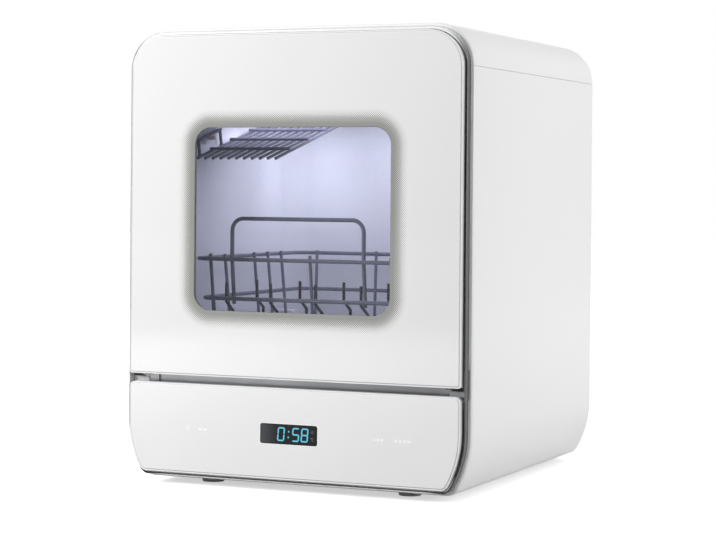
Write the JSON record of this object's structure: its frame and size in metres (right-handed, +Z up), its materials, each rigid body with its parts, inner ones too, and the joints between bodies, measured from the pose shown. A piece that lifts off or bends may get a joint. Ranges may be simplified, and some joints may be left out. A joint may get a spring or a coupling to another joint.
{
  "type": "countertop dishwasher",
  "caption": "Compact countertop dishwasher: glass drop-down door with window, touch panel, pull-out wire basket, spray arm, built-in water tank and pumps.",
  "frame": {"origin": "centre of the bounding box in X and Y, on the floor under the rubber feet in Z", "axes": "+X to the right seen from the front, +Y to the back, +Z up; the door and panel face -Y"},
  "size_m": [0.356, 0.371, 0.44],
  "materials": {
    "casing_white": "smooth satin white moulding",
    "back_steel": "light grey powder coat",
    "bright_steel": "bright zinc",
    "foot_rubber": "matte black rubber",
    "frame_silver": "satin silver grey",
    "tub_white": "smooth white",
    "seal_rubber": "soft dark rubber",
    "panel_glass": "back-printed white glass",
    "door_glass": "back-printed glass with a clear window",
    "rim_white": "satin white moulding",
    "display_black": "glossy black window",
    "board_green": "circuit board",
    "hinge_black": "black coated steel",
    "inner_grey": "plain grey moulding",
    "dark_plastic": "dark moulding",
    "hose_black": "ribbed black hose",
    "heater_steel": "stainless steel",
    "tank_blue": "milky blue-white plastic",
    "filter_steel": "perforated stainless steel",
    "arm_white": "white moulding",
    "wire_grey": "slate grey nylon coat on wire",
    "tine_dark": "dark nylon coat on wire",
    "liner_white": "smooth white",
    "pane_clear": "clear toughened glass",
    "lamp_clear": "frosted lamp cover"
  },
  "bodies": {
    "cabinet": {"left_side_panel": "casing_white", "right_side_panel": "casing_white", "top_cover": "casing_white", "rear_panel": "back_steel", "rear_screws": "bright_steel", "base_pan": "back_steel", "feet": "foot_rubber", "front_frame": "frame_silver", "tub": "tub_white", "door_seal": "seal_rubber", "control_panel": "panel_glass", "panel_housing": "rim_white", "display_lens": "display_black", "display_module": "dark_plastic", "control_board": "board_green", "touch_springs": "bright_steel", "hinge_brackets": "hinge_black", "hinge_pins": "bright_steel", "door_lock": "dark_plastic", "sump": "inner_grey", "filter_plate": "filter_steel", "spray_post": "arm_white", "spray_cap": "arm_white", "wash_pump": "inner_grey", "hose_elbows": "hose_black", "flow_heater": "heater_steel", "drain_pump": "inner_grey", "drain_hose": "hose_black", "drain_fitting": "inner_grey", "water_tank": "tank_blue", "feed_valve": "inner_grey", "feed_hose": "hose_black", "inlet_valve": "inner_grey", "fill_funnel": "arm_white", "fill_lid_pin": "bright_steel", "power_gland": "dark_plastic", "fan_housing": "inner_grey", "fan_motor": "inner_grey", "lamp_lens": "lamp_clear", "basket_rails": "tub_white", "shelf_pegs": "tub_white", "upper_shelf": "wire_grey"},
    "door": {"door_glass": "door_glass", "door_frame": "rim_white", "door_liner": "liner_white", "inner_pane": "pane_clear", "pane_gasket": "seal_rubber", "hinge_arms": "hinge_black", "door_strike": "bright_steel", "dispenser_box": "arm_white"},
    "dispenser_lid": {"dispenser_lid": "arm_white"},
    "basket": {"basket": "wire_grey", "basket_shoes": "arm_white", "plate_tines": "tine_dark"},
    "spray_arm": {"spray_arm": "arm_white"},
    "filter_cup": {"filter_cup": "inner_grey"},
    "pump_impeller": {"pump_impeller": "dark_plastic"},
    "fan_wheel": {"fan_wheel": "dark_plastic"},
    "level_float": {"level_float": "arm_white"},
    "fill_lid": {"fill_lid": "casing_white"}
  },
  "joints": [
    {"name": "door_hinge", "type": "hinge", "parent": "cabinet", "child": "door", "pos_m": [0, -0.176, 0.1096], "axis": [1, 0, 0], "range_deg": [0, 90]},
    {"name": "basket_slide", "type": "slide", "parent": "cabinet", "child": "basket", "axis": [0, -1, 0], "range_m": [0, 0.11]},
    {"name": "dispenser_lid_slide", "type": "slide", "parent": "door", "child": "dispenser_lid", "axis": [1, 0, 0], "range_m": [0, 0.054]},
    {"name": "spray_arm_spin", "type": "hinge", "parent": "cabinet", "child": "spray_arm", "pos_m": [0, -0.0155, 0.1275], "axis": [0, 0, 1], "continuous": true},
    {"name": "filter_twist", "type": "hinge", "parent": "cabinet", "child": "filter_cup", "pos_m": [0.035, -0.0155, 0.09], "axis": [0, 0, 1], "range_deg": [0, 40]},
    {"name": "impeller_spin", "type": "hinge", "parent": "cabinet", "child": "pump_impeller", "pos_m": [-0.091, 0.0025, 0.072], "axis": [1, 0, 0], "continuous": true},
    {"name": "fan_spin", "type": "hinge", "parent": "cabinet", "child": "fan_wheel", "pos_m": [0.074, 0.0045, 0.402], "axis": [0, 0, 1], "continuous": true},
    {"name": "float_rise", "type": "slide", "parent": "cabinet", "child": "level_float", "axis": [0, 0, 1], "range_m": [0, 0.0045]},
    {"name": "fill_lid_hinge", "type": "hinge", "parent": "cabinet", "child": "fill_lid", "pos_m": [0, 0.1709, 0.4371], "axis": [-1, 0, 0], "range_deg": [0, 100]}
  ],
  "couplings": [
    {"joint": "basket_slide", "follows": "door_hinge", "m_per_rad": 0.07}
  ]
}
